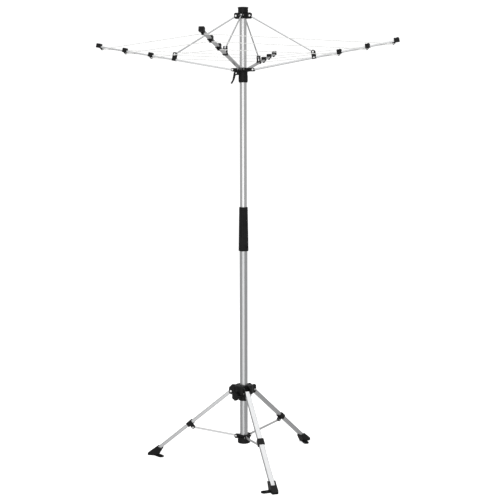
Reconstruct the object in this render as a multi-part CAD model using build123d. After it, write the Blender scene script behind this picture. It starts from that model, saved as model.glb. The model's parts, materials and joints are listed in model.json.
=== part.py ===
from build123d import *
import os
from math import cos, radians, sin, sqrt

# Rotary clothesline of the camping kind: a telescopic mast on a folding tripod, with four arms
# that fold up round the mast, four struts and three square loops of line.
# Millimetres. Z is up, the floor is z = 0 and the mast's axis is the Z axis.
# Arms and struts stand every 90 degrees from +X, legs every 120 degrees from -X.

# Clearances and hardware
FIT = 0.05
SLIDE_GAP = 0.3
SIDE_GAP = 0.3
PIN_R = 2.5
LEG_PIN_R = 3.0
PIN_HEAD_T = 1.4
PIN_HEAD_RIM = 1.3
SOFT_EDGE = 0.8

# Mast: the upper tube slides in the lower one
MAST_TOP = 1850.0
UPPER_TUBE_R = 14.0
UPPER_TUBE_WALL = 1.2
LOWER_TUBE_WALL = 1.5
TELESCOPE_GAP = 0.5
LOWER_TUBE_R = UPPER_TUBE_R + TELESCOPE_GAP + LOWER_TUBE_WALL
LOWER_TUBE_BOTTOM = 84.0
LOWER_TUBE_TOP = 1035.0
TUBE_OVERLAP = 275.0
UPPER_TUBE_BOTTOM = LOWER_TUBE_TOP - TUBE_OVERLAP
BUSH_FLANGE = 16.0
BUSH_STEM = 40.0

# Grip over the joint of the two tubes
GRIP_BOTTOM = LOWER_TUBE_TOP - 155.0
GRIP_TOP = LOWER_TUBE_TOP + 24.0
GRIP_BOTTOM_R = LOWER_TUBE_R + 4.2
GRIP_TOP_R = UPPER_TUBE_R + 3.4
GRIP_EDGE = 2.6
GRIP_FLUTES = 14
GRIP_FLUTE_R = 1.7
GRIP_FLUTE_END = 22.0

# Top cap
CAP_HEIGHT = 44.0
CAP_ROOF = 8.0
CAP_WAIST_R = UPPER_TUBE_R + 3.5
CAP_HEAD_R = CAP_WAIST_R + 2.5
CAP_RIM_R = CAP_HEAD_R + 1.2
CAP_FLARE = 1.0
CAP_DISH = 2.0
CAP_LUG_ROOT = 5.0
CAP_RIM_H = 5.0
CAP_LUG_H = 23.0
CAP_EAR = 3.9
CAP_LUG_NOSE = 7.0
STRUT_PIVOT_R = CAP_WAIST_R + 10.5
STRUT_PIVOT_DROP = 33.0

# Arms
ARM_COUNT = 4
ARM_TILT = 10.2
ARM_WIDTH = 15.0
ARM_DEPTH = 7.0
ARM_WALL = 1.2
ARM_HEEL = 6.0
ARM_LENGTH = 576.0
ARM_PIVOT_R = UPPER_TUBE_R + 27.4
ARM_PIVOT_Z = MAST_TOP - 243.5
ARM_EDGE = 1.4
TIP_CAP_LENGTH = 21.0
TIP_CAP_ROOF = 9.0
TIP_EYE_PLACE = ARM_LENGTH - 16.0
CLIP_EYE_PLACES = (345.0, 456.6)
CLIP_LENGTH = 19.0
CLIP_WALL = 1.9
CLIP_EDGE = 1.2
HOOK_TOP = 12.5
HOOK_ROUND = 4.5
HOOK_SLOT = 5.0
HOOK_SLOT_BACK = 1.5
HOOK_FLOOR = 5.0
HOOK_WALL = 4.0
BRACKET_PLACE = 248.5
BRACKET_RISE = 21.7
BRACKET_LENGTH = 16.0
BRACKET_WALL = 1.6
BRACKET_WINDOW = 8.0
BRACKET_WINDOW_H = 5.0
BRACKET_EDGE = 1.2
BRACKET_SADDLE = 1.5

# Struts
STRUT_R = 2.9
STRUT_EYE_R = STRUT_R + 2.6
STRUT_EYE_W = 5.8

# Arm hub and its clamp lever
HUB_SLEEVE_R = UPPER_TUBE_R + 3.7
HUB_SLEEVE_BOTTOM = ARM_PIVOT_Z - 50.5
HUB_SLEEVE_EDGE = 2.2
HUB_DISC_R = HUB_SLEEVE_R + 12.3
HUB_DISC_H = 13.4
HUB_DISC_EDGE = 1.6
HUB_EAR = 4.0
HUB_NOSE = 5.6
HUB_THROAT = ARM_PIVOT_R - 8.0
LEVER_AZIMUTH = 203.0
LEVER_PIVOT_R = HUB_SLEEVE_R + 12.3
LEVER_PIVOT_DROP = 14.5
LEVER_WIDTH = 12.0
LEVER_CAM_R = 6.4
LEVER_EAR = 3.4
LEVER_LENGTH = 41.0
LEVER_KNEE = 25.4
LEVER_SHOULDER = (7.0, 4.6)
LEVER_BLADE = (6.0, 12.5)
LEVER_THUMB = (15.0, 20.5)
LEVER_PIN_R = 2.0

# Washing line
LINE_R = 1.25
LINE_EYE_R = LINE_R + 1.25
LINE_EYE_WALL = 1.5
LINE_EYE_W = 8.0
LINE_EYE_BACK = 8.0
LINE_EYE_TO_CLIP = 4.5
LINE_EYE_DROP = 8.6
LINE_BEND_R = 12.0

# Tripod hub and its clamp
LEG_AZIMUTHS = {"left": 180.0, "front": 300.0, "right": 60.0}
TRIPOD_SLEEVE_R = LOWER_TUBE_R + 5.0
LEG_PIVOT_R = TRIPOD_SLEEVE_R + 30.7
LEG_PIVOT_Z = 298.0
TRIPOD_SLEEVE_BOTTOM = LEG_PIVOT_Z - 37.0
TRIPOD_TOP = LEG_PIVOT_Z + 27.0
TRIPOD_DISC_R = TRIPOD_SLEEVE_R + 18.0
TRIPOD_DISC_BOTTOM = LEG_PIVOT_Z - 8.0
TRIPOD_DISC_EDGE = 7.0
TRIPOD_LOBE_BOTTOM = LEG_PIVOT_Z - 13.0
TRIPOD_LOBE_TOP = TRIPOD_TOP - 4.0
TRIPOD_EAR = 4.6
TRIPOD_NOSE = 8.2
TRIPOD_POCKET = 13.0
CLAMP_AZIMUTH = 240.0
CLAMP_Z = LEG_PIVOT_Z - 14.0
CLAMP_BOSS_R = 9.5
CLAMP_BOSS_END = LOWER_TUBE_R + 25.0
CLAMP_SCREW_R = 4.0
CLAMP_KNOB_R = 17.0
CLAMP_KNOB_T = 14.0
CLAMP_KNOB_LOBES = 6
CLAMP_KNOB_EDGE = 1.8
CLAMP_NOTCH_R = 5.5
CLAMP_NOTCH_OUT = 3.4

# Legs
LEG_SLOPE = 40.0
LEG_WIDTH = 20.0
LEG_DEPTH = 14.0
LEG_WALL = 1.5
LEG_EDGE = 1.8
LEG_HEEL = LEG_DEPTH / 2
LEG_LENGTH = 438.0
COLLAR_PIVOT_R = LEG_PIVOT_R + 165.3
COLLAR_PIVOT_Z = LEG_PIVOT_Z - 167.0
COLLAR_LENGTH = 25.0
COLLAR_WALL = 3.2
COLLAR_EDGE = 2.4
COLLAR_EAR = 4.4
COLLAR_NOSE = 6.5
FOOT_TOP = LEG_LENGTH - 36.0
FOOT_SKEW = 12.0
FOOT_WALL = 3.2
FOOT_LIP = 1.2
FOOT_TOE = 34.0
FOOT_TOE_H = 8.0
FOOT_TOE_ROUND = 3.0
FOOT_BACK = 12.0
FOOT_PLATE_T = 4.0
FOOT_HEEL_R = 14.0
FOOT_RING_R = 12.0
PEG_HOLE_R = 6.0
PEG_HOLE_REACH = 36.0
FOOT_TURNS = {"left": 145.0, "front": -87.0, "right": -122.0}

# Base hub and braces
BASE_HUB_R = LOWER_TUBE_R + 10.0
BASE_HUB_BOTTOM = LOWER_TUBE_BOTTOM - 4.0
BASE_HUB_TOP = LOWER_TUBE_BOTTOM + 21.0
BASE_HUB_EDGE = 2.4
BASE_NECK_R = LOWER_TUBE_R + 4.0
BASE_NECK_H = 10.0
BRACE_PIVOT_R = BASE_HUB_R + 7.0
BRACE_PIVOT_Z = BASE_HUB_TOP + 3.0
BRACE_W = 4.0
BRACE_H = 8.0
BRACE_EYE_R = 5.6
BASE_EAR = 4.0
BASE_NOSE = 6.4

# Places that follow from the sizes above
CAP_BOTTOM = MAST_TOP - CAP_HEIGHT
UPPER_TUBE_TOP = MAST_TOP - CAP_ROOF
STRUT_PIVOT_Z = MAST_TOP - STRUT_PIVOT_DROP
STRUT_GAP = STRUT_EYE_W + 2 * SIDE_GAP
ARM_GAP = ARM_WIDTH + 2 * SIDE_GAP
LEG_GAP = LEG_WIDTH + 2 * SIDE_GAP
BRACE_GAP = BRACE_W + 2 * SIDE_GAP
LEVER_PIVOT_Z = ARM_PIVOT_Z - LEVER_PIVOT_DROP
LEVER_GAP = LEVER_WIDTH + 2 * SIDE_GAP
ARM_AZIMUTHS = [360.0 / ARM_COUNT * index for index in range(ARM_COUNT)]
ALONG_Y = Rot(90, 0, 0)


def span(low, high, width, depth, centre=(0.0, 0.0)):
    """A bar along X from low to high, with its section centred at (y, z)."""
    return Pos((low + high) / 2, centre[0], centre[1]) * Box(high - low, width, depth)


def post(radius, low, high):
    """A round post on the Z axis from low to high."""
    return Pos(0, 0, (low + high) / 2) * Cylinder(radius, high - low)


def tube(outer, inner, low, high):
    """A round tube on the Z axis."""
    return post(outer, low, high) - post(inner, low, high)


def bore(x, z, radius, length):
    """A round bar along Y through (x, z), also used to cut pivot holes."""
    return Pos(x, 0, z) * ALONG_Y * Cylinder(radius, length)


def pin(x, z, radius, grip_width):
    """A rivet along Y with a flat domed head outside each ear."""
    rivet = bore(x, z, radius, grip_width + PIN_HEAD_T)
    head = ALONG_Y * Cylinder(radius + PIN_HEAD_RIM, PIN_HEAD_T)
    head = fillet(head.edges().filter_by(GeomType.CIRCLE), PIN_HEAD_T / 3)
    for side in (-1, 1):
        rivet += Pos(x, side * (grip_width / 2 + PIN_HEAD_T / 2 + FIT), z) * head
    return rivet


def ears(inner, outer, low, high, gap, ear, nose, throat, pivot, hole):
    """A block along +X with two rounded ears, the gap between them and the pivot hole."""
    width = gap + 2 * ear
    middle = (low + high) / 2
    block = span(inner, outer, width, high - low, (0, middle))
    nose_edges = block.edges().filter_by(Axis.Y).group_by(Axis.X)[-1]
    block = fillet(nose_edges, nose)
    slot = span(throat, outer + nose, gap, 2 * (high - low), (0, middle))
    return block - slot - bore(pivot[0], pivot[1], hole, 2 * width)


def turned(part, azimuth):
    """The part turned about the mast's axis."""
    return Rot(0, 0, azimuth) * part


def on_arm(part):
    """The part moved from the arm's own frame, X along the arm from its pivot, to the first arm."""
    return Pos(ARM_PIVOT_R, 0, ARM_PIVOT_Z) * Rot(0, -ARM_TILT, 0) * part


def on_leg(part):
    """The part moved from the leg's own frame, X down the leg from its pivot, to azimuth 0."""
    return Pos(LEG_PIVOT_R, 0, LEG_PIVOT_Z) * Rot(0, LEG_SLOPE, 0) * part


def arm_point(along, above):
    """Radius and height of a point in the arm's own frame."""
    tilt = radians(ARM_TILT)
    radius = ARM_PIVOT_R + along * cos(tilt) - above * sin(tilt)
    height = ARM_PIVOT_Z + along * sin(tilt) + above * cos(tilt)
    return radius, height


def leg_point(radius, height):
    """Distance along the leg and above its axis of a point at this radius and height."""
    slope = radians(LEG_SLOPE)
    out, up = radius - LEG_PIVOT_R, height - LEG_PIVOT_Z
    return out * cos(slope) - up * sin(slope), out * sin(slope) + up * cos(slope)


def leg_place(along, above):
    """Radius and height of a point in the leg's own frame."""
    slope = radians(LEG_SLOPE)
    radius = LEG_PIVOT_R + along * cos(slope) + above * sin(slope)
    height = LEG_PIVOT_Z - along * sin(slope) + above * cos(slope)
    return radius, height


def link(start, end, eye_r, eye_w, hole, bar):
    """A straight link between two pivots, with an eye on each; bar builds its shank from a length."""
    (x0, z0), (x1, z1) = start, end
    length = sqrt((x1 - x0) ** 2 + (z1 - z0) ** 2)
    aim = Plane(origin=(x0, 0, z0), x_dir=(x1 - x0, 0, z1 - z0), z_dir=(z0 - z1, 0, x1 - x0))
    body = bar(length)
    for place in (0, length):
        body += bore(place, 0, eye_r, eye_w)
    for place in (0, length):
        body -= bore(place, 0, hole, 2 * eye_w)
    return aim.location * body


def lower_tube():
    return tube(LOWER_TUBE_R, LOWER_TUBE_R - LOWER_TUBE_WALL, LOWER_TUBE_BOTTOM, LOWER_TUBE_TOP)


def upper_tube():
    return tube(UPPER_TUBE_R, UPPER_TUBE_R - UPPER_TUBE_WALL, UPPER_TUBE_BOTTOM, UPPER_TUBE_TOP)


def mast_bush():
    """Slider at the foot of the upper tube: a flange in the lower tube's bore, a stem in the upper's."""
    flange_r = LOWER_TUBE_R - LOWER_TUBE_WALL - FIT
    stem_r = UPPER_TUBE_R - UPPER_TUBE_WALL - FIT
    seat = UPPER_TUBE_BOTTOM - SLIDE_GAP
    return post(flange_r, seat - BUSH_FLANGE, seat) + post(stem_r, seat, seat + BUSH_STEM)


def grip():
    """Tapered fluted grip: its lower bore turns on the lower tube, its lip clears the upper tube."""
    profile = Polyline(
        (0, GRIP_BOTTOM), (GRIP_BOTTOM_R, GRIP_BOTTOM), (GRIP_TOP_R, GRIP_TOP), (0, GRIP_TOP), close=True
    )
    body = revolve(Plane.XZ * make_face(profile), Axis.Z)
    body = fillet(body.edges().filter_by(GeomType.CIRCLE), GRIP_EDGE)
    length = GRIP_TOP - GRIP_BOTTOM
    taper = (GRIP_BOTTOM_R - GRIP_TOP_R) / length
    low, high = GRIP_BOTTOM + GRIP_FLUTE_END, GRIP_TOP - GRIP_FLUTE_END
    low_r = GRIP_BOTTOM_R - taper * GRIP_FLUTE_END + GRIP_FLUTE_R / 2
    high_r = GRIP_TOP_R + taper * GRIP_FLUTE_END + GRIP_FLUTE_R / 2
    path = Plane(origin=(low_r, 0, low), z_dir=(high_r - low_r, 0, high - low))
    groove_length = sqrt((high - low) ** 2 + (high_r - low_r) ** 2)
    groove = path.location * Pos(0, 0, groove_length / 2) * Cylinder(GRIP_FLUTE_R, groove_length)
    for end in (0, groove_length):
        groove += path.location * Pos(0, 0, end) * Sphere(GRIP_FLUTE_R)
    for index in range(GRIP_FLUTES):
        body -= turned(groove, 360 / GRIP_FLUTES * index)
    body -= post(LOWER_TUBE_R + FIT, GRIP_BOTTOM - GRIP_EDGE, LOWER_TUBE_TOP + SLIDE_GAP)
    return body - post(UPPER_TUBE_R + SLIDE_GAP, GRIP_BOTTOM, GRIP_TOP + GRIP_EDGE)


def top_cap():
    """Cap on the mast: four eared lugs round a waist, and a flared head with a dished top."""
    waist_top = CAP_BOTTOM + CAP_LUG_H
    profile = Polyline(
        (0, CAP_BOTTOM),
        (CAP_WAIST_R, CAP_BOTTOM),
        (CAP_WAIST_R, waist_top - CAP_FLARE),
        (CAP_HEAD_R, waist_top + CAP_FLARE),
        (CAP_HEAD_R, MAST_TOP - CAP_RIM_H),
        (CAP_RIM_R, MAST_TOP - CAP_RIM_H / 2),
        (CAP_RIM_R, MAST_TOP),
        (CAP_WAIST_R, MAST_TOP),
        (CAP_WAIST_R - CAP_FLARE, MAST_TOP - CAP_DISH),
        (0, MAST_TOP - CAP_DISH),
        close=True,
    )
    body = revolve(Plane.XZ * make_face(profile), Axis.Z)
    lug = ears(
        CAP_WAIST_R - CAP_LUG_ROOT, STRUT_PIVOT_R + CAP_LUG_NOSE, CAP_BOTTOM, waist_top, STRUT_GAP, CAP_EAR,
        CAP_LUG_NOSE - 1, STRUT_PIVOT_R - STRUT_EYE_R - 1, (STRUT_PIVOT_R, STRUT_PIVOT_Z), PIN_R + FIT,
    )
    for azimuth in ARM_AZIMUTHS:
        body += turned(lug, azimuth)
    return body - post(UPPER_TUBE_R + FIT, CAP_BOTTOM - 1, UPPER_TUBE_TOP)


def arm_hub():
    """Sliding hub: sleeve, disc with four eared lugs for the arms, and the ears of the clamp lever."""
    disc_top = ARM_PIVOT_Z + HUB_DISC_H / 2
    disc_bottom = ARM_PIVOT_Z - HUB_DISC_H / 2
    sleeve = post(HUB_SLEEVE_R, HUB_SLEEVE_BOTTOM, disc_top)
    body = fillet(sleeve.edges().group_by(Axis.Z)[0], HUB_SLEEVE_EDGE)
    disc = post(HUB_DISC_R, disc_bottom, disc_top)
    body += fillet(disc.edges().filter_by(GeomType.CIRCLE), HUB_DISC_EDGE)
    lug = ears(
        HUB_SLEEVE_R, ARM_PIVOT_R + HUB_NOSE, disc_bottom, disc_top, ARM_GAP, HUB_EAR, HUB_NOSE - 0.6,
        HUB_THROAT, (ARM_PIVOT_R, ARM_PIVOT_Z), PIN_R + FIT,
    )
    for azimuth in ARM_AZIMUTHS:
        body += turned(lug, azimuth)
    clamp = ears(
        UPPER_TUBE_R + 2, LEVER_PIVOT_R + LEVER_CAM_R - 1, LEVER_PIVOT_Z - LEVER_CAM_R,
        disc_bottom + 1, LEVER_GAP, LEVER_EAR, LEVER_CAM_R - 1.4,
        LEVER_PIVOT_R - LEVER_CAM_R - 1, (LEVER_PIVOT_R, LEVER_PIVOT_Z), LEVER_PIN_R + FIT,
    )
    cut_low, cut_high = LEVER_PIVOT_Z - LEVER_CAM_R - 1, disc_bottom + 1
    cam_room = span(LEVER_PIVOT_R - LEVER_CAM_R - 1, HUB_DISC_R + LEVER_CAM_R, LEVER_GAP,
                    cut_high - cut_low, (0, (cut_low + cut_high) / 2))
    body += turned(clamp, LEVER_AZIMUTH)
    body -= turned(cam_room, LEVER_AZIMUTH)
    return body - post(UPPER_TUBE_R + SLIDE_GAP, HUB_SLEEVE_BOTTOM - 1, disc_top + 1)


def hub_lever():
    """Cam lever: a round cam on the pivot, a straight blade and a thumb end kinked outwards."""
    x, z = LEVER_PIVOT_R, LEVER_PIVOT_Z
    knee, end = z - LEVER_KNEE, z - LEVER_LENGTH
    outline = Polyline(
        (x, z + LEVER_SHOULDER[1]),
        (x + LEVER_SHOULDER[0], z + LEVER_SHOULDER[1]),
        (x + LEVER_BLADE[1], knee),
        (x + LEVER_THUMB[1], end + 2 * SOFT_EDGE),
        (x + LEVER_THUMB[0], end),
        (x + LEVER_BLADE[0], knee),
        (x, z - LEVER_CAM_R + SOFT_EDGE),
        close=True,
    )
    blade = extrude(Plane.XZ * make_face(outline), LEVER_WIDTH / 2, both=True)
    blade = fillet(blade.edges().filter_by(Axis.Y).group_by(Axis.X)[-1], SOFT_EDGE)
    lever = blade + bore(x, z, LEVER_CAM_R, LEVER_WIDTH)
    return turned(lever - bore(x, z, LEVER_PIN_R + FIT, 2 * LEVER_WIDTH), LEVER_AZIMUTH)


def arm_tube():
    """Flat hollow arm with its pivot hole."""
    outer = span(-ARM_HEEL, ARM_LENGTH, ARM_WIDTH, ARM_DEPTH)
    outer = fillet(outer.edges().filter_by(Axis.X), ARM_EDGE)
    inside = span(-ARM_HEEL - 1, ARM_LENGTH + 1, ARM_WIDTH - 2 * ARM_WALL, ARM_DEPTH - 2 * ARM_WALL)
    return on_arm(outer - inside - bore(0, 0, PIN_R + FIT, 2 * ARM_WIDTH))


def line_eye(place):
    """Eye under the arm that the line runs through, with the web that holds it."""
    outer = LINE_EYE_R + LINE_EYE_WALL
    eye = bore(place, -LINE_EYE_DROP, outer, LINE_EYE_W)
    web_low, web_high = -LINE_EYE_DROP, -ARM_DEPTH / 2 - FIT
    web = span(place - outer, place + LINE_EYE_BACK, LINE_EYE_W, web_high - web_low,
               (0, (web_low + web_high) / 2))
    return eye + web


def line_hole(place):
    return bore(place, -LINE_EYE_DROP, LINE_EYE_R, 4 * LINE_EYE_W)


def arm_socket(low, high):
    """The room that a moulding round the arm leaves for it."""
    return span(low, high, ARM_WIDTH + 2 * FIT, ARM_DEPTH + 2 * FIT)


def line_hook(low, high):
    """Moulding round the arm: a rounded hump on top, slotted from one side to hang a line in."""
    width, half = ARM_WIDTH + 2 * CLIP_WALL, ARM_DEPTH / 2 + CLIP_WALL
    body = span(low, high, width, half + HOOK_TOP, (0, (HOOK_TOP - half) / 2))
    body = fillet(body.edges().filter_by(Axis.Y).group_by(Axis.Z)[-1], HOOK_ROUND)
    body = fillet(body.edges().filter_by(Axis.X), CLIP_EDGE)
    middle = (low + high) / 2 - HOOK_SLOT_BACK
    slot = span(middle - HOOK_SLOT / 2, middle + HOOK_SLOT / 2, width, 2 * HOOK_TOP,
                (-HOOK_WALL, HOOK_FLOOR + HOOK_TOP))
    return body - slot


def line_clips():
    """The two clips of one arm, each a hooked collar with the line's eye on its inner side."""
    clips = []
    for place in CLIP_EYE_PLACES:
        low = place + LINE_EYE_TO_CLIP - CLIP_LENGTH / 2
        high = low + CLIP_LENGTH
        clip = line_hook(low, high) + line_eye(place)
        clips.append(clip - arm_socket(low - CLIP_LENGTH, high + 1) - line_hole(place))
    return on_arm(Compound(children=clips))


def tip_cap():
    """Cap on the arm's outer end, hooked like the clips, with its own eye for the outer loop."""
    end = ARM_LENGTH + TIP_CAP_ROOF
    cap = line_hook(end - TIP_CAP_LENGTH, end) + line_eye(TIP_EYE_PLACE)
    return on_arm(cap - arm_socket(TIP_EYE_PLACE - CLIP_LENGTH, ARM_LENGTH) - line_hole(TIP_EYE_PLACE))


def strut_bracket():
    """Collar on the arm with two ears above it for the strut."""
    low, high = BRACKET_PLACE - BRACKET_LENGTH / 2, BRACKET_PLACE + BRACKET_LENGTH / 2
    width, depth = ARM_WIDTH + 2 * BRACKET_WALL, ARM_DEPTH + 2 * BRACKET_WALL
    collar = span(low, high, width, depth)
    collar = fillet(collar.edges().filter_by(Axis.X), BRACKET_EDGE)
    ear_width = STRUT_GAP + 2 * CAP_EAR
    base = span(low, high, ear_width, BRACKET_RISE, (0, BRACKET_RISE / 2))
    ear_pair = base + bore(BRACKET_PLACE, BRACKET_RISE, BRACKET_LENGTH / 2, ear_width)
    slot_low = depth / 2 + BRACKET_SADDLE
    slot_high = BRACKET_RISE + BRACKET_LENGTH
    slot = span(low - 1, high + 1, STRUT_GAP, slot_high - slot_low, (0, (slot_low + slot_high) / 2))
    window = span(BRACKET_PLACE - BRACKET_WINDOW / 2, BRACKET_PLACE + BRACKET_WINDOW / 2, ARM_WIDTH,
                  BRACKET_WINDOW_H, (-ARM_WIDTH / 2, 0))
    body = collar + (ear_pair - slot) - window
    body -= arm_socket(low - 1, high + 1)
    return on_arm(body - bore(BRACKET_PLACE, BRACKET_RISE, PIN_R + FIT, 2 * ear_width))


def strut():
    """Round strut from the top cap to the arm's bracket."""
    def rod(length):
        return Pos(length / 2, 0, 0) * Rot(0, 90, 0) * Cylinder(STRUT_R, length)

    return link(
        (STRUT_PIVOT_R, STRUT_PIVOT_Z), arm_point(BRACKET_PLACE, BRACKET_RISE),
        STRUT_EYE_R, STRUT_EYE_W, PIN_R + FIT, rod,
    )


def strut_pins():
    """The two like rivets of one strut."""
    x, z = arm_point(BRACKET_PLACE, BRACKET_RISE)
    width = STRUT_GAP + 2 * CAP_EAR
    return Compound(children=[pin(STRUT_PIVOT_R, STRUT_PIVOT_Z, PIN_R, width), pin(x, z, PIN_R, width)])


def arm_pins():
    """The four rivets that the arms turn on."""
    rivet = pin(ARM_PIVOT_R, ARM_PIVOT_Z, PIN_R, ARM_GAP + 2 * HUB_EAR)
    return Compound(children=[turned(rivet, azimuth) for azimuth in ARM_AZIMUTHS])


def line_loop(place):
    """One taut square loop through the four eyes at this place along the arms."""
    radius, height = arm_point(place, -LINE_EYE_DROP)
    corner = radius + LINE_BEND_R * (sqrt(2) - 1)
    corners = [
        (corner * cos(radians(azimuth)), corner * sin(radians(azimuth)), height)
        for azimuth in ARM_AZIMUTHS
    ]
    path = FilletPolyline(*corners, radius=LINE_BEND_R, close=True)
    start = path @ 0
    section = Plane(origin=start, z_dir=path % 0) * Circle(LINE_R)
    return sweep(section, path=path)


def tripod_hub():
    """Sliding hub of the legs: long sleeve, domed disc, three eared lobes with pockets, clamp boss."""
    body = post(TRIPOD_SLEEVE_R, TRIPOD_SLEEVE_BOTTOM, TRIPOD_TOP)
    disc = post(TRIPOD_DISC_R, TRIPOD_DISC_BOTTOM, TRIPOD_TOP)
    disc = fillet(disc.edges().group_by(Axis.Z)[-1], TRIPOD_DISC_EDGE)
    body += disc
    lobe = ears(
        TRIPOD_SLEEVE_R - 4, LEG_PIVOT_R + TRIPOD_NOSE, TRIPOD_LOBE_BOTTOM, TRIPOD_LOBE_TOP, LEG_GAP,
        TRIPOD_EAR, TRIPOD_NOSE + 3, LEG_PIVOT_R - LEG_HEEL * sqrt(2) - 1,
        (LEG_PIVOT_R, LEG_PIVOT_Z), LEG_PIN_R + FIT,
    )
    pocket_low, pocket_high = TRIPOD_SLEEVE_R + 4, LEG_PIVOT_R
    pocket = span(pocket_low, pocket_high, LEG_GAP, 2 * TRIPOD_POCKET, (0, TRIPOD_TOP))
    for azimuth in LEG_AZIMUTHS.values():
        body += turned(lobe, azimuth)
        body -= turned(pocket, azimuth)
    boss = Pos(CLAMP_BOSS_END / 2, 0, CLAMP_Z) * Rot(0, 90, 0) * Cylinder(CLAMP_BOSS_R, CLAMP_BOSS_END)
    body += turned(boss, CLAMP_AZIMUTH)
    thread = Pos(CLAMP_BOSS_END, 0, CLAMP_Z) * Rot(0, 90, 0)
    thread = thread * Cylinder(CLAMP_SCREW_R + FIT, 2 * CLAMP_BOSS_END)
    body -= turned(thread, CLAMP_AZIMUTH)
    return body - post(LOWER_TUBE_R + SLIDE_GAP, TRIPOD_SLEEVE_BOTTOM - 1, TRIPOD_TOP + 1)


def clamp_screw():
    """Screw of the tripod clamp, from just off the mast to inside the knob."""
    low = LOWER_TUBE_R + 2 * SLIDE_GAP
    high = CLAMP_BOSS_END + CLAMP_KNOB_T / 2
    screw = Pos((low + high) / 2, 0, CLAMP_Z) * Rot(0, 90, 0) * Cylinder(CLAMP_SCREW_R, high - low)
    return turned(screw, CLAMP_AZIMUTH)


def clamp_knob():
    """Lobed hand knob of the tripod clamp."""
    body = Cylinder(CLAMP_KNOB_R, CLAMP_KNOB_T)
    notch = Pos(CLAMP_KNOB_R + CLAMP_NOTCH_OUT, 0, 0) * Cylinder(CLAMP_NOTCH_R, 2 * CLAMP_KNOB_T)
    for index in range(CLAMP_KNOB_LOBES):
        body -= turned(notch, 360 / CLAMP_KNOB_LOBES * (index + 0.5))
    body = fillet(body.edges().group_by(Axis.Z)[-1], CLAMP_KNOB_EDGE)
    body -= Pos(0, 0, -CLAMP_KNOB_T / 2) * Cylinder(CLAMP_SCREW_R + FIT, CLAMP_KNOB_T)
    centre = CLAMP_BOSS_END + SLIDE_GAP + CLAMP_KNOB_T / 2
    return turned(Pos(centre, 0, CLAMP_Z) * Rot(0, 90, 0) * body, CLAMP_AZIMUTH)


def leg_tube():
    """Rectangular hollow leg with its pivot hole."""
    outer = span(-LEG_HEEL, LEG_LENGTH, LEG_WIDTH, LEG_DEPTH)
    outer = fillet(outer.edges().filter_by(Axis.X), LEG_EDGE)
    inside = span(-LEG_HEEL - 1, LEG_LENGTH + 1, LEG_WIDTH - 2 * LEG_WALL, LEG_DEPTH - 2 * LEG_WALL)
    return on_leg(outer - inside - bore(0, 0, LEG_PIN_R + FIT, 2 * LEG_WIDTH))


def leg_socket(low, high):
    """The room that a moulding round the leg leaves for it."""
    return span(low, high, LEG_WIDTH + 2 * FIT, LEG_DEPTH + 2 * FIT)


def leg_collar():
    """Collar round the leg with two ears below it for the brace."""
    along, above = leg_point(COLLAR_PIVOT_R, COLLAR_PIVOT_Z)
    low, high = along - COLLAR_LENGTH / 2, along + COLLAR_LENGTH / 2
    collar = span(low, high, LEG_WIDTH + 2 * COLLAR_WALL, LEG_DEPTH + 2 * COLLAR_WALL)
    collar = fillet(collar.edges().filter_by(Axis.X), COLLAR_EDGE)
    ear_width = BRACE_GAP + 2 * COLLAR_EAR
    stem = span(along - COLLAR_NOSE, along + COLLAR_NOSE, ear_width, -above, (0, above / 2))
    ear_pair = stem + bore(along, above, COLLAR_NOSE, ear_width)
    slot_low, slot_high = above - 2 * COLLAR_NOSE, -LEG_DEPTH / 2 - COLLAR_WALL - 1
    slot = span(low, high, BRACE_GAP, slot_high - slot_low, (0, (slot_low + slot_high) / 2))
    body = collar + (ear_pair - slot)
    body -= leg_socket(low - 1, high + 1)
    return on_leg(body - bore(along, above, PIN_R + FIT, 2 * ear_width))


def foot(turn):
    """Wedge shoe on the leg's end, open over the leg, with a base plate that has a peg hole."""
    heel_x = LEG_PIVOT_R + (LEG_LENGTH - FOOT_PLATE_T) * cos(radians(LEG_SLOPE))
    half = LEG_DEPTH / 2 + FOOT_WALL
    outline = Polyline(
        (heel_x + FOOT_TOE, 0),
        (heel_x + FOOT_TOE, FOOT_TOE_H),
        leg_place(FOOT_TOP + FOOT_SKEW, half),
        leg_place(FOOT_TOP, -half),
        (heel_x - FOOT_BACK, 0),
        close=True,
    )
    shoe = extrude(Plane.XZ * make_face(outline), LEG_WIDTH / 2 + FOOT_WALL, both=True)
    shoe = fillet(shoe.faces().sort_by(Axis.X)[-1].edges().filter_by(Axis.Z), 2 * FOOT_TOE_ROUND)
    opening = span(FOOT_TOP, LEG_LENGTH - FOOT_WALL, LEG_WIDTH - 2 * FOOT_LIP, LEG_DEPTH,
                   (0, LEG_DEPTH))
    shoe -= on_leg(opening)
    plate = Cylinder(FOOT_HEEL_R, FOOT_PLATE_T)
    plate += span(0, PEG_HOLE_REACH, 2 * FOOT_RING_R, FOOT_PLATE_T)
    plate += Pos(PEG_HOLE_REACH, 0, 0) * Cylinder(FOOT_RING_R, FOOT_PLATE_T)
    plate = Pos(heel_x, 0, FOOT_PLATE_T / 2) * Rot(0, 0, turn) * plate
    peg_hole = Pos(heel_x, 0, 0) * Rot(0, 0, turn) * Pos(PEG_HOLE_REACH, 0, 0)
    peg_hole = peg_hole * Cylinder(PEG_HOLE_R, 4 * FOOT_PLATE_T)
    body = shoe + plate
    body -= on_leg(leg_socket(FOOT_TOP - COLLAR_LENGTH, LEG_LENGTH))
    return body - peg_hole


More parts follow.
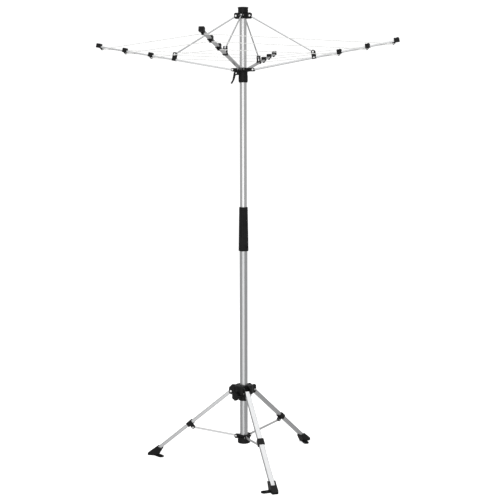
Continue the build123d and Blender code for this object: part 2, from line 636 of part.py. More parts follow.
def base_hub():
    """Hub at the foot of the mast: closed below, with three eared lugs for the braces."""
    disc = post(BASE_HUB_R, BASE_HUB_BOTTOM, BASE_HUB_TOP)
    body = fillet(disc.edges().filter_by(GeomType.CIRCLE), BASE_HUB_EDGE)
    body += post(BASE_NECK_R, BASE_HUB_TOP - 1, BASE_HUB_TOP + BASE_NECK_H)
    lug = ears(
        BASE_NECK_R - 2, BRACE_PIVOT_R + BASE_NOSE, BRACE_PIVOT_Z - BASE_NOSE - 4,
        BRACE_PIVOT_Z + BASE_NOSE, BRACE_GAP, BASE_EAR, BASE_NOSE - 0.4,
        BRACE_PIVOT_R - BRACE_EYE_R - 0.8, (BRACE_PIVOT_R, BRACE_PIVOT_Z), PIN_R + FIT,
    )
    for azimuth in LEG_AZIMUTHS.values():
        body += turned(lug, azimuth)
    return body - post(LOWER_TUBE_R + FIT, LOWER_TUBE_BOTTOM, BASE_HUB_TOP + 2 * BASE_NECK_H)


def brace():
    """Flat bar from the base hub to the leg's collar."""
    def bar(length):
        return span(0, length, BRACE_W, BRACE_H)

    return link(
        (BRACE_PIVOT_R, BRACE_PIVOT_Z), (COLLAR_PIVOT_R, COLLAR_PIVOT_Z),
        BRACE_EYE_R, BRACE_W, PIN_R + FIT, bar,
    )


def brace_pins():
    """The three rivets that the braces turn on at the base hub."""
    rivet = pin(BRACE_PIVOT_R, BRACE_PIVOT_Z, PIN_R, BRACE_GAP + 2 * BASE_EAR)
    return Compound(children=[turned(rivet, azimuth) for azimuth in LEG_AZIMUTHS.values()])


def build_nodes():
    """Every sub-part, by node name."""
    nodes = {
        "lower_tube": lower_tube(),
        "base_hub": base_hub(),
        "brace_pins": brace_pins(),
        "mast_grip": grip(),
        "mast_bush": mast_bush(),
        "upper_tube": upper_tube(),
        "top_cap": top_cap(),
        "arm_hub": arm_hub(),
        "arm_pins": arm_pins(),
        "hub_lever": hub_lever(),
        "lever_pin": turned(
            pin(LEVER_PIVOT_R, LEVER_PIVOT_Z, LEVER_PIN_R, LEVER_GAP + 2 * LEVER_EAR), LEVER_AZIMUTH),
        "tripod_hub": tripod_hub(),
        "clamp_screw": clamp_screw(),
        "clamp_knob": clamp_knob(),
    }
    arm_pieces = {
        "arm_tube": arm_tube(), "tip_cap": tip_cap(), "line_clips": line_clips(),
        "strut_bracket": strut_bracket(), "strut": strut(), "strut_pins": strut_pins(),
    }
    for number, azimuth in enumerate(ARM_AZIMUTHS, 1):
        for name, piece in arm_pieces.items():
            nodes[f"{name}_{number}"] = turned(piece, azimuth)
    loops = {"inner": CLIP_EYE_PLACES[0], "middle": CLIP_EYE_PLACES[1], "outer": TIP_EYE_PLACE}
    for name, place in loops.items():
        nodes[f"line_{name}"] = line_loop(place)
    leg_pieces = {
        "leg_tube": leg_tube(), "leg_collar": leg_collar(), "brace": brace(),
        "leg_pin": pin(LEG_PIVOT_R, LEG_PIVOT_Z, LEG_PIN_R, LEG_GAP + 2 * TRIPOD_EAR),
        "collar_pin": pin(COLLAR_PIVOT_R, COLLAR_PIVOT_Z, PIN_R, BRACE_GAP + 2 * COLLAR_EAR),
    }
    for side, azimuth in LEG_AZIMUTHS.items():
        for name, piece in leg_pieces.items():
            nodes[f"{name}_{side}"] = turned(piece, azimuth)
        nodes[f"foot_{side}"] = turned(foot(FOOT_TURNS[side]), azimuth)
    return nodes


os.makedirs("parts", exist_ok=True)
for node, shape in build_nodes().items():
    export_step(shape, f"parts/{node}.step")
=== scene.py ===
import json
from math import cos, pi, radians, sin, sqrt

import bpy
import numpy as np
from bpy.props import FloatProperty, FloatVectorProperty, IntProperty, PointerProperty
from mathutils import Matrix, Vector


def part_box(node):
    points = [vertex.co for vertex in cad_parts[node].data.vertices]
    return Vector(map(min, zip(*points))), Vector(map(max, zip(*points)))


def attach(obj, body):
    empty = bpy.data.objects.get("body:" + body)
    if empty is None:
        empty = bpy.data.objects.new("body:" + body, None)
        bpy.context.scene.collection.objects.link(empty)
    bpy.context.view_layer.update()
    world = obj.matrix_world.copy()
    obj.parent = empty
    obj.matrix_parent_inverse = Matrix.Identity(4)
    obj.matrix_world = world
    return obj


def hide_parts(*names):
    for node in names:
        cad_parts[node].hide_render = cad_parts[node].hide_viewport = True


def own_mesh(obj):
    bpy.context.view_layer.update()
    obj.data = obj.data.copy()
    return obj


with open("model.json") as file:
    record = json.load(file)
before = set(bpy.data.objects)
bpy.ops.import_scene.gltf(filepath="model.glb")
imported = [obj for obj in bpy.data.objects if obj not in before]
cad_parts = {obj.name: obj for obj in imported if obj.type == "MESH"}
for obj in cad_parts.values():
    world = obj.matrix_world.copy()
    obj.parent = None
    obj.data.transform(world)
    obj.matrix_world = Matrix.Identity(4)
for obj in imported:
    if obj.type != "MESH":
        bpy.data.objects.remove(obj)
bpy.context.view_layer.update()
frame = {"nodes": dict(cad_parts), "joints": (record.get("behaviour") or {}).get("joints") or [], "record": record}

bl_info = {
    "name": "Rotary clothesline",
    "version": (1, 0),
    "blender": (4, 5, 0),
    "location": "3D View > Sidebar > Clothesline",
    "description": "Lines, mouldings and finishes of a camping rotary clothesline",
    "category": "Object",
}

JOINTS = {joint["name"]: joint for joint in frame["joints"]}
MOUNTS = {mount["name"]: mount for mount in frame["record"]["mounts"]}
ARMS = (1, 2, 3, 4)
SIDES = ("left", "front", "right")
LOOPS = ("outer", "middle", "inner")
STRUTS = tuple(f"strut_{number}" for number in ARMS)
UP = np.array([0.0, 0.0, 1.0])

# Rows of the line, and sizes of the small mouldings in metres
SLEEVES = {
    "arm_hub": {"radius": 0.0177, "start": 0.0035, "length": 0.026},
    "tripod_hub": {"radius": 0.021, "start": 0.004, "length": 0.02},
}
BEND_ROWS = 9
RUN_ROWS = 41
RIB_WIDTH = 0.0024
RIB_POWER = 3.2
LIP_GAP = 0.002
GRIP_BEAD = 0.0012
GRIP_BEAD_IN = 0.0135
GRIP_BEAD_SINK = {"lower": 0.0009, "upper": 0.00318}
KNOB_FACE = 0.0143
KNOB_DISC = (0.0085, 0.0016)
CAP_DISH = 0.002
CAP_DISC = (0.011, 0.0014)
DISC_SKIRT = 0.001
PLUG_PLACE = 0.0055
PLUG_SIZE = (0.0016, 0.0124, 0.0044)
PLUG_POWER = 5

# Floor, lights and camera. A lamp is its place, what it is aimed at, its size and its power.
WHITE = (1.0, 1.0, 1.0, 1.0)
FLOOR_RINGS = (0.02, 3.0, 6.0, 9.0)
FLOOR_HEIGHT = -0.0006
FLOOR_GLOW = 0.62
ROOM_STRENGTH = 0.5
BACKDROP_STRENGTH = 1.1
LAMPS = {
    "overhead": ((0.0, -0.6, 4.4), (0.0, 0.0, 0.0), (4.5, 4.5), 80),
    "front": ((0.5, -5.6, 1.2), (0.0, 0.0, 1.2), (6.4, 6.4), 118),
}
CAMERA_PLACE = (0.9815, -4.1105, 1.384)
CAMERA_WAY = (-0.2262, 0.9741)
CAMERA_PITCH = radians(-6.75)
CAMERA_ROLL = radians(-0.08)
LENS = 75.43
SENSOR_WIDTH = 36.0


# ---------------------------------------------------------------- places read from the frame

def box(node):
    """Lowest and highest corner of a node as arrays."""
    low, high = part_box(node)
    return np.array(low), np.array(high)


def centre(node):
    """Middle of a node's box."""
    low, high = box(node)
    return (low + high) / 2


def pivot(joint):
    """Place of a joint as an array."""
    return np.array(JOINTS[joint]["pos_m"], float)


def outward(place):
    """Unit vector from the mast's axis towards a place, level with it."""
    return unit(np.array([place[0], place[1], 0.0]))


def unit(vector):
    """The vector divided by its length."""
    return vector / np.linalg.norm(vector)


def arm_ways(number):
    """Pivot of an arm, its direction along the tilted arm, and the level direction across it."""
    hinge = pivot(f"arm_{number}_lift")
    return hinge, unit(centre(f"arm_tube_{number}") - hinge), np.cross(UP, outward(hinge))


def leg_run(side):
    """Direction down a leg from its top pivot."""
    return unit(centre(f"leg_tube_{side}") - centre(f"leg_pin_{side}"))


# ---------------------------------------------------------------- surfaces

def grid_mesh(name, points, along_closed=False, capped=True, uv=None):
    """A mesh from a grid of points, rows along the piece and columns round it.

    Neighbouring rows and columns are joined by four-sided faces, and the last column to the first. A
    closed length joins its last row to its first. Open ends are capped by one point at the mean of
    the end row.
    """
    rows, columns = points.shape[:2]
    corners = points.reshape(-1, 3)
    index = np.arange(rows * columns).reshape(rows, columns)
    down = np.roll(index, -1, axis=0) if along_closed else index[1:]
    up = index if along_closed else index[:-1]
    quads = np.stack([up, np.roll(up, -1, 1), np.roll(down, -1, 1), down], axis=-1)
    faces = quads.reshape(-1, 4).tolist()
    if capped and not along_closed:
        for row, turn in ((index[0], 1), (index[-1], -1)):
            hub = len(corners)
            corners = np.vstack([corners, corners[row].mean(axis=0)])
            fan = np.stack([np.full(columns, hub), np.roll(row, -1), row], axis=-1)
            faces += fan[:, ::turn].tolist()
    mesh = bpy.data.meshes.new(name)
    mesh.from_pydata(corners.tolist(), [], faces)
    if uv is not None:
        layer = mesh.uv_layers.new(name="along")
        loops = np.empty(len(mesh.loops), np.int32)
        mesh.loops.foreach_get("vertex_index", loops)
        padded = np.vstack([uv.reshape(-1, 2), np.zeros((len(corners) - rows * columns, 2))])
        layer.data.foreach_set("uv", padded[loops].astype(np.float32).ravel())
    mesh.polygons.foreach_set("use_smooth", np.ones(len(mesh.polygons), bool))
    mesh.update()
    piece = bpy.data.objects.new(name, mesh)
    bpy.context.scene.collection.objects.link(piece)
    settle_normals(piece)
    return piece


def settle_normals(piece):
    """Turns the faces of a closed piece outwards: its signed volume has to be above zero."""
    mesh = piece.data
    mesh.calc_loop_triangles()
    corners = np.empty(len(mesh.vertices) * 3)
    mesh.vertices.foreach_get("co", corners)
    corners = corners.reshape(-1, 3)
    triangles = np.empty(len(mesh.loop_triangles) * 3, np.int32)
    mesh.loop_triangles.foreach_get("vertices", triangles)
    a, b, c = (corners[triangles.reshape(-1, 3)[:, column]] for column in range(3))
    if np.einsum("ij,ij->i", a, np.cross(b, c)).sum() < 0:
        mesh.flip_normals()


def tube_points(path, tangents, radius, columns):
    """Points of a round cord along a level path, and their places round it and along it.

    Each row is a circle across the path: centre + radius (cos a side + sin a up).
    """
    across = np.cross(UP, tangents)
    across /= np.linalg.norm(across, axis=1, keepdims=True)
    upward = np.cross(tangents, across)
    steps = np.linalg.norm(np.diff(path, axis=0), axis=1)
    length = np.concatenate([[0], np.cumsum(steps)])
    angle = np.linspace(0, 2 * pi, columns, endpoint=False)
    wave = np.stack([np.cos(angle), np.sin(angle)], axis=-1)
    ring = wave[None, :, :1] * across[:, None] + wave[None, :, 1:] * upward[:, None]
    uv = np.stack(np.broadcast_arrays(angle[None, :] / (2 * pi), length[:, None]), axis=-1)
    return path[:, None] + radius * ring, uv


def turned_points(profile, middle, axis, columns=48):
    """A profile of (radius, height) pairs carried round an axis through the middle point.

    Each point is middle + height axis + radius (cos a u + sin a v), u and v square to the axis.
    """
    u = unit(np.cross(axis, np.array([1.0, 0.0, 0.0])))
    v = np.cross(axis, u)
    angle = np.linspace(0, 2 * pi, columns, endpoint=False)
    ring = np.cos(angle)[:, None] * u + np.sin(angle)[:, None] * v
    return middle + profile[:, 1, None, None] * axis + profile[:, 0, None, None] * ring[None]


def pillow_points(middle, along, across, size, power, rows, columns):
    """A superellipsoid: a rounded block whose section runs from an oval to a box with the power.

    A point is middle + a c(p) c(q) along + b c(p) s(q) across + h s(p) normal, where c and s are the
    cosine and sine with their sizes raised to 2 / power.
    """
    normal = np.cross(along, across)
    tilt = np.linspace(-pi / 2, pi / 2, rows)[1:-1, None]
    turn = np.linspace(0, 2 * pi, columns, endpoint=False)[None, :]

    def bent(wave):
        return np.sign(wave) * np.abs(wave) ** (2 / power)

    a = size[0] / 2 * bent(np.cos(tilt)) * bent(np.cos(turn))
    b = size[1] / 2 * bent(np.cos(tilt)) * bent(np.sin(turn))
    h = size[2] / 2 * bent(np.sin(tilt)) * np.ones_like(turn)
    return middle + a[..., None] * along + b[..., None] * across + h[..., None] * normal


def bead(radius, size, steps=16):
    """Round profile of a bead: points on a circle of this size about (radius, 0)."""
    angle = np.linspace(0, 2 * pi, steps, endpoint=False)
    return np.stack([radius + size * np.cos(angle), size * np.sin(angle)], axis=-1)


def disc(radius, rise, steps=10):
    """Profile of a domed disc: a skirt, then (radius cos a, rise sin a) up to the middle."""
    angle = np.linspace(0, pi / 2, steps)
    dome = np.stack([0.0001 + radius * np.cos(angle), rise * np.sin(angle)], axis=-1)
    return np.vstack([[(radius, -DISC_SKIRT)], dome])


# ---------------------------------------------------------------- shader maths

class Amount:
    """A number that varies over a surface; + - and * on it add Math nodes."""

    def __init__(self, tree, socket):
        self.tree = tree
        self.socket = socket

    def maths(self, operation, first, second=None):
        """Adds one Math node for an operation on one or two numbers."""
        node = self.tree.nodes.new("ShaderNodeMath")
        node.operation = operation
        for slot, value in enumerate((first, second)):
            if isinstance(value, Amount):
                self.tree.links.new(value.socket, node.inputs[slot])
            elif value is not None:
                node.inputs[slot].default_value = value
        return Amount(self.tree, node.outputs[0])

    def __add__(self, other):
        return self.maths("ADD", self, other)

    __radd__ = __add__

    def __mul__(self, other):
        return self.maths("MULTIPLY", self, other)

    __rmul__ = __mul__

    def __sub__(self, other):
        return self.maths("SUBTRACT", self, other)

    def __rsub__(self, other):
        return self.maths("SUBTRACT", other, self)

    def sine(self):
        return self.maths("SINE", self)


class Finish:
    """One material: its shader is set up once, then varied through its sockets."""

    def __init__(self, name, **shader_values):
        self.material = bpy.data.materials.new(name)
        self.material.use_nodes = True
        self.tree = self.material.node_tree
        self.shader = self.tree.nodes["Principled BSDF"]
        for socket, value in shader_values.items():
            self.shader.inputs[socket.replace("_", " ")].default_value = value

    def node(self, kind, settings=None, output=0, **values):
        """Adds a node, sets its settings first, then its sockets by name, or by number as i0, i1."""
        node = self.tree.nodes.new(kind)
        for setting, value in (settings or {}).items():
            setattr(node, setting, value)
        for name, value in values.items():
            key = int(name[1:]) if name[1:].isdigit() else name.replace("_", " ")
            self.fill(node.inputs[key], value)
        return Amount(self.tree, node.outputs[output])

    def fill(self, socket, value):
        """Links a varying number to a socket, or sets a plain one on it."""
        if isinstance(value, Amount):
            self.tree.links.new(value.socket, socket)
        else:
            socket.default_value = value

    def place(self):
        """Object coordinates in metres."""
        return self.node("ShaderNodeTexCoord", output=3)

    def drawn_out(self, along, stretch):
        """Coordinates squeezed along one direction, so that a pattern runs in long thin streaks."""
        place = self.place()
        vector = "ShaderNodeVectorMath"
        run = self.node(vector, {"operation": "DOT_PRODUCT"}, output=1, i0=place, i1=along)
        shift = self.node(vector, {"operation": "SCALE"}, i0=along, Scale=run * (stretch - 1))
        return self.node(vector, {"operation": "ADD"}, i0=place, i1=shift)

    def noise(self, scale, where=None, detail=3.0, rough=0.55):
        """Noise between 0 and 1, on Object coordinates if it is given no others."""
        where = where or self.place()
        return self.node(
            "ShaderNodeTexNoise", Vector=where, Scale=scale, Detail=detail, Roughness=rough)

    def blended(self, share, first, second):
        """A colour between two colours."""
        colours = {"i6": (*first, 1), "i7": (*second, 1)}
        return self.node("ShaderNodeMix", {"data_type": "RGBA"}, output=2, i0=share, **colours)

    def ramp(self, value, low, high):
        """0 where the value is under low, 1 over high, even between."""
        return self.node("ShaderNodeMapRange", Value=value, From_Min=low, From_Max=high)

    def finish(self, colour, roughness, height, strength, distance):
        """Joins the colour, the roughness and a bump of this height to the shader."""
        bump = self.node("ShaderNodeBump", Height=height, Strength=strength, Distance=distance)
        self.fill(self.shader.inputs["Base Color"], colour)
        self.fill(self.shader.inputs["Roughness"], roughness)
        self.fill(self.shader.inputs["Normal"], bump)
        return self.material


def drawn_aluminium(name, along, light, dark, roughness):
    """Satin anodised aluminium: streaks of the die along the length, faint handling marks."""
    metal = Finish(name, Metallic=1.0)
    along = tuple(along)
    streaks = metal.noise(900.0, metal.drawn_out(along, 0.012), detail=4.0, rough=0.6)
    broad = metal.noise(260.0, metal.drawn_out(along, 0.01), detail=2.0)
    cloud = metal.noise(9.0, detail=4.0)
    rubs = metal.ramp(metal.noise(70.0, detail=5.0, rough=0.7), low=0.62, high=0.78)
    shade = streaks * 0.35 + broad * 0.35 + cloud * 0.3
    colour = metal.blended(metal.ramp(shade, low=0.3, high=0.7), dark, light)
    dull = roughness + (streaks - 0.5) * 0.16 + (cloud - 0.5) * 0.12 + rubs * 0.08
    grooves = streaks * 0.6 + broad * 0.4
    return metal.finish(colour, dull, grooves, strength=0.05, distance=0.00006)


def plated_steel(settings):
    """Zinc-plated rivets: fine spangle, turning marks and a little dulling."""
    steel = Finish("plated_steel", Metallic=1.0)
    spangle = steel.node("ShaderNodeTexVoronoi", Vector=steel.place(), Scale=1400.0)
    cloud = steel.noise(420.0)
    colour = steel.blended(cloud, settings.rivet_dark, settings.rivet_light)
    dull = 0.2 + cloud * 0.16 + spangle * 0.06
    return steel.finish(colour, dull, cloud, strength=0.15, distance=0.0001)


def moulded_black(settings):
    """Black moulded plastic: spark-eroded grain, flow marks and pale rubbed spots."""
    plastic = Finish("moulded_black", Specular_IOR_Level=0.22)
    grain = plastic.noise(2600.0, detail=2.0)
    pebble = plastic.node("ShaderNodeTexVoronoi", Vector=plastic.place(), Scale=1500.0)
    flow = plastic.noise(38.0, detail=5.0, rough=0.6)
    rubbed = plastic.ramp(plastic.noise(120.0, detail=6.0, rough=0.75), low=0.6, high=0.74)
    share = plastic.ramp(flow * 0.5 + rubbed * 0.35 + grain * 0.15, low=0.25, high=0.85)
    colour = plastic.blended(share, settings.plastic_dark, settings.plastic_light)
    dull = 0.36 + flow * 0.16 - rubbed * 0.08 + grain * 0.05
    return plastic.finish(colour, dull, grain * 0.5 + pebble * 0.5, strength=0.35, distance=0.00012)


def grip_rubber(settings):
    """Soft black grip: matt, fine cross grain and a bloom that gathers in broad patches."""
    rubber = Finish("grip_rubber", Specular_IOR_Level=0.2)
    grain = rubber.noise(1900.0, detail=3.0)
    bloom = rubber.noise(26.0, detail=4.0)
    share = rubber.ramp(bloom, low=0.35, high=0.75)
    colour = rubber.blended(share, settings.plastic_dark, settings.plastic_light)
    dull = 0.5 + bloom * 0.18 + grain * 0.05
    return rubber.finish(colour, dull, grain, strength=0.4, distance=0.00015)


def coated_line(settings):
    """White coated line: smooth skin with the lay of its core just showing, and slight soiling."""
    line = Finish("coated_line", Coat_Roughness=0.25)
    lay = line.node("ShaderNodeUVMap", {"uv_map": "along"})
    around = line.node("ShaderNodeSeparateXYZ", Vector=lay)
    length = line.node("ShaderNodeSeparateXYZ", output=1, Vector=lay)
    turns = around * (2 * pi * settings.line_strands) - length * (2 * pi / settings.line_lay)
    strands = turns.sine()
    soil = line.noise(55.0, detail=5.0)
    colour = line.blended(line.ramp(soil, low=0.45, high=0.8), settings.line_colour, settings.line_soil)
    dull = 0.34 + soil * 0.12
    return line.finish(colour, dull, strands * 0.5 + 0.5, strength=0.12, distance=0.0001)


# ---------------------------------------------------------------- settings

class ClotheslineSettings(bpy.types.PropertyGroup):
    """Sizes and colours that a user would change."""

    line_diameter: FloatProperty(
        name="Line diameter", description="Outside of the coated line",
        default=0.0025, unit="LENGTH")
    line_bend: FloatProperty(
        name="Line bend", description="Radius of the line's bend in each eye",
        default=0.012, unit="LENGTH")
    line_lay: FloatProperty(
        name="Lay", description="Length of one turn of the line's core",
        default=0.014, unit="LENGTH")
    line_strands: IntProperty(name="Strands", description="Strands in the line's core", default=3)
    line_columns: IntProperty(name="Line faces", description="Faces round the line", default=12)
    gather: FloatProperty(
        name="Gather", description="Distance from the mast to the gathered line when folded",
        default=0.06, unit="LENGTH")
    drop: FloatProperty(
        name="Drop", description="Share of half a side that hangs down when folded", default=0.7,
        subtype="FACTOR")
    rib_count: IntProperty(name="Ribs", description="Ribs round the two sliding sleeves", default=8)
    rib_height: FloatProperty(
        name="Rib height", description="How far a rib stands out", default=0.0011, unit="LENGTH")
    lip_height: FloatProperty(
        name="Lip height", description="Raised rim round a peg hole", default=0.0012, unit="LENGTH")
    metal_light: FloatVectorProperty(
        name="Metal light", description="Light streaks of the satin tube", subtype="COLOR",
        default=(0.62, 0.625, 0.63))
    metal_dark: FloatVectorProperty(
        name="Metal dark", description="Dark streaks of the satin tube", subtype="COLOR",
        default=(0.54, 0.545, 0.55))
    mast_light: FloatVectorProperty(
        name="Mast light", description="Light streaks of the upper tube", subtype="COLOR",
        default=(0.78, 0.78, 0.78))
    mast_dark: FloatVectorProperty(
        name="Mast dark", description="Dark streaks of the upper tube", subtype="COLOR",
        default=(0.69, 0.69, 0.695))
    rivet_light: FloatVectorProperty(
        name="Rivet light", description="Bright part of the rivets", subtype="COLOR",
        default=(0.86, 0.86, 0.85))
    rivet_dark: FloatVectorProperty(
        name="Rivet dark", description="Dull part of the rivets", subtype="COLOR",
        default=(0.6, 0.6, 0.6))
    plastic_dark: FloatVectorProperty(
        name="Plastic dark", description="Black of the mouldings", subtype="COLOR",
        default=(0.003, 0.003, 0.0032))
    plastic_light: FloatVectorProperty(
        name="Plastic light", description="Rubbed and dusty black", subtype="COLOR",
        default=(0.012, 0.012, 0.0125))
    line_colour: FloatVectorProperty(
        name="Line", description="White of the line's coating", subtype="COLOR",
        default=(0.72, 0.72, 0.71))
    line_soil: FloatVectorProperty(
        name="Line soil", description="Colour of the line where it is handled", subtype="COLOR",
        default=(0.56, 0.56, 0.54))


def settings():
    """The settings of the scene that is open."""
    return bpy.context.scene.clothesline


# ---------------------------------------------------------------- the line

def half_side(loop, number, ahead):
    """Centre line of half a side of a loop, from its eye on an arm to the middle of the side.

    The line leaves the eye on an arc of 45 degrees about a point inside the eye, then runs straight.
    ahead is 1 for the side towards the next arm and -1 for the side towards the one before.
    """
    bend = settings().line_bend
    low, high = box(f"line_{loop}")
    reach = (high[0] - low[0]) / 2 - settings().line_diameter / 2
    height = (low[2] + high[2]) / 2
    away = outward(pivot(f"arm_{number}_lift"))
    side = ahead * np.cross(UP, away)
    run = (reach - bend) / sqrt(2)
    arc = bend * pi / 4
    length = np.concatenate([np.linspace(0, arc, BEND_ROWS), np.linspace(arc, arc + run, RUN_ROWS)[1:]])
    turn = np.minimum(length, arc) / bend
    beyond = np.maximum(length - arc, 0)
    level = (reach - bend) + bend * np.cos(turn) - beyond / sqrt(2)
    sideways = bend * np.sin(turn) + beyond / sqrt(2)
    path = level[:, None] * away + sideways[:, None] * side + height * UP
    tangents = -np.sin(turn)[:, None] * away + np.cos(turn)[:, None] * side
    return path, tangents


def after_fold(number, point, back=False):
    """Where a point of an arm goes when the arms fold up, or with back, where it came from."""
    hinge = pivot(f"arm_{number}_lift")
    angle = radians(JOINTS[f"arm_{number}_lift"]["range_deg"][1])
    slide = np.array(JOINTS["arm_fold"]["axis"], float) * JOINTS["arm_fold"]["range_m"][1]
    axis = Vector(JOINTS[f"arm_{number}_lift"]["axis"])
    turn = np.array(Matrix.Rotation(-angle if back else angle, 3, axis))
    if back:
        return hinge + turn @ (point - slide - hinge)
    return hinge + turn @ (point - hinge) + slide


def fold_line(piece, number, path):
    """Works out where the end of half a side would hang with the arms up, midway between two arms, and how much of
    it to keep; the piece only gets a mesh of its own, and its points are not squashed.
    """
    first, last = path[0], path[-1]
    clip = after_fold(number, first)
    half = np.linalg.norm(last - first)
    target = settings().gather * outward(last) + (clip[2] - settings().drop * half) * UP
    target = after_fold(number, target, back=True)
    way = last - target
    travel = np.linalg.norm(way)
    way /= travel
    keep = 1 - travel / ((last - first) @ way)
    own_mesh(piece)


class CLOTHESLINE_OT_lines(bpy.types.Operator):
    """Make the square loops of line, each as eight halves of a side"""
    bl_idname = "clothesline.lines"
    bl_label = "Lines"

    def execute(self, context):
        values = settings()
        finish = coated_line(values)
        for loop in LOOPS:
            for number in ARMS:
                for ahead, word in ((1, "ahead"), (-1, "behind")):
                    path, tangents = half_side(loop, number, ahead)
                    radius = values.line_diameter / 2
                    points, uv = tube_points(path, tangents, radius, values.line_columns)
                    piece = grid_mesh(f"line_{loop}_{number}_{word}", points, uv=uv)
                    piece.data.materials.append(finish)
                    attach(piece, f"arm_{number}")
                    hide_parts(f"line_{loop}")
                    fold_line(piece, number, path)
        return {"FINISHED"}


# ---------------------------------------------------------------- small mouldings

def add_moulding(name, points, body, finish="moulded_black", **ends):
    """A small moulding from its points, in a finish that the CAD pieces have, riding on a body."""
    piece = grid_mesh(name, points, **ends)
    piece.data.materials.append(bpy.data.materials[finish])
    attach(piece, body)
    return piece


class CLOTHESLINE_OT_sleeve_ribs(bpy.types.Operator):
    """Make the upright ribs round the sleeves of the two sliding hubs"""
    bl_idname = "clothesline.sleeve_ribs"
    bl_label = "Sleeve ribs"

    def execute(self, context):
        values = settings()
        for hub, sleeve in SLEEVES.items():
            base = box(hub)[0][2] + sleeve["start"]
            size = (sleeve["length"], RIB_WIDTH, 2 * values.rib_height)
            for index in range(values.rib_count):
                angle = 2 * pi * (index + 0.5) / values.rib_count
                away = np.array([cos(angle), sin(angle), 0])
                middle = sleeve["radius"] * away + (base + sleeve["length"] / 2) * UP
                points = pillow_points(middle, UP, np.cross(UP, away), size, RIB_POWER, 14, 28)
                add_moulding(f"{hub}_rib_{index + 1}", points, hub)
        return {"FINISHED"}


class CLOTHESLINE_OT_rims(bpy.types.Operator):
    """Make the raised rims of the peg holes and the beads at the grip's ends"""
    bl_idname = "clothesline.rims"
    bl_label = "Rims"

    def execute(self, context):
        lip = settings().lip_height
        for side in SIDES:
            hole = MOUNTS[f"peg_hole_{side}"]
            middle = np.array(hole["pos_m"]) * (1, 1, 2)
            radius = hole["dims"]["r_mm"] / 1000 + LIP_GAP
            points = turned_points(bead(radius, lip), middle, UP)
            add_moulding(f"peg_rim_{side}", points, f"leg_{side}", along_closed=True)
        low, high = box("mast_grip")
        grip_radius = (high[0] - low[0]) / 2
        ends = {"lower": low[2] + GRIP_BEAD_IN, "upper": high[2] - GRIP_BEAD_IN}
        for end, height in ends.items():
            profile = bead(grip_radius - GRIP_BEAD_SINK[end], GRIP_BEAD)
            points = turned_points(profile, height * UP, UP)
            add_moulding(f"grip_bead_{end}", points, "grip", "grip_rubber", along_closed=True)
        return {"FINISHED"}


class CLOTHESLINE_OT_caps(bpy.types.Operator):
    """Make the domed discs on the knob and on the top cap"""
    bl_idname = "clothesline.caps"
    bl_label = "Caps"

    def execute(self, context):
        axis = np.array(JOINTS["clamp_knob_turn"]["axis"], float)
        knob_face = pivot("clamp_knob_turn") + KNOB_FACE * axis
        add_moulding("knob_disc", turned_points(disc(*KNOB_DISC), knob_face, axis), "clamp_knob")
        cap_face = (box("top_cap")[1][2] - CAP_DISH) * UP
        add_moulding("cap_disc", turned_points(disc(*CAP_DISC), cap_face, UP), "head")
        return {"FINISHED"}


class CLOTHESLINE_OT_plugs(bpy.types.Operator):
    """Make the plugs in the open inner ends of the arms"""
    bl_idname = "clothesline.plugs"
    bl_label = "End plugs"

    def execute(self, context):
        for number in ARMS:
            hinge, along, across = arm_ways(number)
            middle = hinge - PLUG_PLACE * along
            points = pillow_points(middle, along, across, PLUG_SIZE, PLUG_POWER, 14, 36)
            add_moulding(f"arm_plug_{number}", points, f"arm_{number}")
        return {"FINISHED"}


# ---------------------------------------------------------------- finishes of the CAD pieces

def paint(node, material):
    """Gives a CAD piece its one material."""
    piece = frame["nodes"][node]
    piece.data.materials.clear()
    piece.data.materials.append(material)


class CLOTHESLINE_OT_finishes(bpy.types.Operator):
    """Give every CAD piece its metal or plastic"""
    bl_idname = "clothesline.finishes"
    bl_label = "Finishes"

    def execute(self, context):
        values = settings()
        black, rubber, steel = moulded_black(values), grip_rubber(values), plated_steel(values)
        satin = (values.metal_light, values.metal_dark)
        bright = (values.mast_light, values.mast_dark)
        for node in frame["nodes"]:
            if "_pin" in node or node == "clamp_screw":
                paint(node, steel)
            elif not node.startswith(("arm_tube", "leg_tube", *STRUTS)):
                paint(node, black)
        paint("mast_grip", rubber)
        paint("lower_tube", drawn_aluminium("mast_satin", UP, *satin, 0.3))
        paint("upper_tube", drawn_aluminium("mast_bright", UP, *bright, 0.22))
        for number in ARMS:
            along = arm_ways(number)[1]
            paint(f"arm_tube_{number}", drawn_aluminium(f"arm_satin_{number}", along, *satin, 0.27))
            run = unit(centre(f"strut_{number}") - pivot(f"strut_{number}_swing"))
            paint(f"strut_{number}", drawn_aluminium(f"strut_satin_{number}", run, *satin, 0.27))
        for side in SIDES:
            down = leg_run(side)
            paint(f"leg_tube_{side}", drawn_aluminium(f"leg_satin_{side}", down, *satin, 0.3))
            level = outward(centre(f"brace_{side}"))
            paint(f"brace_{side}", drawn_aluminium(f"brace_satin_{side}", level, *bright, 0.34))
        return {"FINISHED"}


# ---------------------------------------------------------------- floor, light and camera

def area_light(name, place, target, size, power):
    """A rectangular lamp at a place, aimed at a target."""
    data = bpy.data.lights.new(name, "AREA")
    data.shape = "RECTANGLE"
    data.size, data.size_y = size
    data.energy = power
    lamp = bpy.data.objects.new(name, data)
    lamp.location = place
    lamp.rotation_mode = "QUATERNION"
    lamp.rotation_quaternion = (Vector(target) - Vector(place)).to_track_quat("-Z", "Y")
    bpy.context.scene.collection.objects.link(lamp)


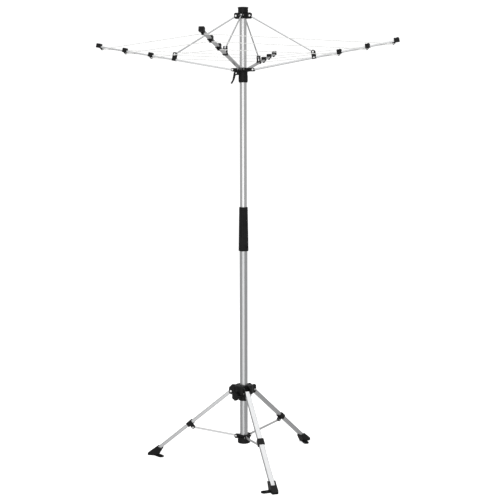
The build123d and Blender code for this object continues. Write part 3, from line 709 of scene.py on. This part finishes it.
class CLOTHESLINE_OT_stage(bpy.types.Operator):
    """Set up the pale floor, the soft light and the camera"""
    bl_idname = "clothesline.stage"
    bl_label = "Stage"

    def execute(self, context):
        scene = context.scene
        rings = np.array([(radius, FLOOR_HEIGHT) for radius in FLOOR_RINGS])
        points = turned_points(rings, np.zeros(3), UP)
        floor = grid_mesh("floor", points[::-1], capped=False)
        paper = Finish("white_paper", Specular_IOR_Level=0.1)
        paper.shader.inputs["Emission Color"].default_value = WHITE
        paper.shader.inputs["Emission Strength"].default_value = FLOOR_GLOW
        fibre = paper.noise(300.0)
        colour = paper.blended(fibre, (0.93, 0.93, 0.93), (0.96, 0.96, 0.96))
        dull = 0.88 + fibre * 0.04
        floor.data.materials.append(paper.finish(colour, dull, fibre, strength=0.02, distance=0.0005))
        floor.visible_glossy = False
        self.backdrop(scene)
        for name, lamp in LAMPS.items():
            area_light(name, *lamp)
        self.camera(scene)
        scene.view_settings.view_transform = "Standard"
        return {"FINISHED"}

    def backdrop(self, scene):
        """White behind the object, and a softer grey room for the metal to reflect."""
        world = bpy.data.worlds.new("studio")
        world.use_nodes = True
        tree = world.node_tree
        room = tree.nodes["Background"]
        room.inputs["Color"].default_value = WHITE
        room.inputs["Strength"].default_value = ROOM_STRENGTH
        seen = tree.nodes.new("ShaderNodeBackground")
        seen.inputs["Color"].default_value = WHITE
        seen.inputs["Strength"].default_value = BACKDROP_STRENGTH
        path = tree.nodes.new("ShaderNodeLightPath")
        mix = tree.nodes.new("ShaderNodeMixShader")
        tree.links.new(path.outputs["Is Camera Ray"], mix.inputs[0])
        tree.links.new(room.outputs[0], mix.inputs[1])
        tree.links.new(seen.outputs[0], mix.inputs[2])
        tree.links.new(mix.outputs[0], tree.nodes["World Output"].inputs[0])
        scene.world = world

    def camera(self, scene):
        """Camera a little over four metres off, at shoulder height, looking slightly down."""
        data = bpy.data.cameras.new("camera")
        data.sensor_width = SENSOR_WIDTH
        data.lens = LENS
        camera = bpy.data.objects.new("camera", data)
        camera.location = CAMERA_PLACE
        level = cos(CAMERA_PITCH)
        forward = Vector((CAMERA_WAY[0] * level, CAMERA_WAY[1] * level, sin(CAMERA_PITCH)))
        roll = Matrix.Rotation(CAMERA_ROLL, 3, "Z").to_quaternion()
        camera.rotation_mode = "QUATERNION"
        camera.rotation_quaternion = forward.to_track_quat("-Z", "Y") @ roll
        scene.collection.objects.link(camera)
        scene.camera = camera


# ---------------------------------------------------------------- panel and registration

OPERATORS = (
    CLOTHESLINE_OT_stage, CLOTHESLINE_OT_lines, CLOTHESLINE_OT_finishes,
    CLOTHESLINE_OT_sleeve_ribs, CLOTHESLINE_OT_rims, CLOTHESLINE_OT_caps, CLOTHESLINE_OT_plugs,
)


class CLOTHESLINE_PT_panel(bpy.types.Panel):
    """The clothesline's pieces and settings"""
    bl_idname = "CLOTHESLINE_PT_panel"
    bl_label = "Rotary clothesline"
    bl_space_type = "VIEW_3D"
    bl_region_type = "UI"
    bl_category = "Clothesline"

    def draw(self, context):
        for name in ClotheslineSettings.__annotations__:
            self.layout.prop(context.scene.clothesline, name)
        for operator in OPERATORS:
            self.layout.operator(operator.bl_idname)


CLASSES = (ClotheslineSettings, *OPERATORS, CLOTHESLINE_PT_panel)


def register():
    """Adds the settings, the operators and the panel."""
    for item in CLASSES:
        bpy.utils.register_class(item)
    bpy.types.Scene.clothesline = PointerProperty(type=ClotheslineSettings)


def unregister():
    """Takes away what register adds."""
    del bpy.types.Scene.clothesline
    for item in reversed(CLASSES):
        bpy.utils.unregister_class(item)


def main():
    """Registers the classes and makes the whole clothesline."""
    register()
    for operator in OPERATORS:
        getattr(bpy.ops.clothesline, operator.bl_idname.split(".")[1])()


if __name__ == "__main__":
    main()
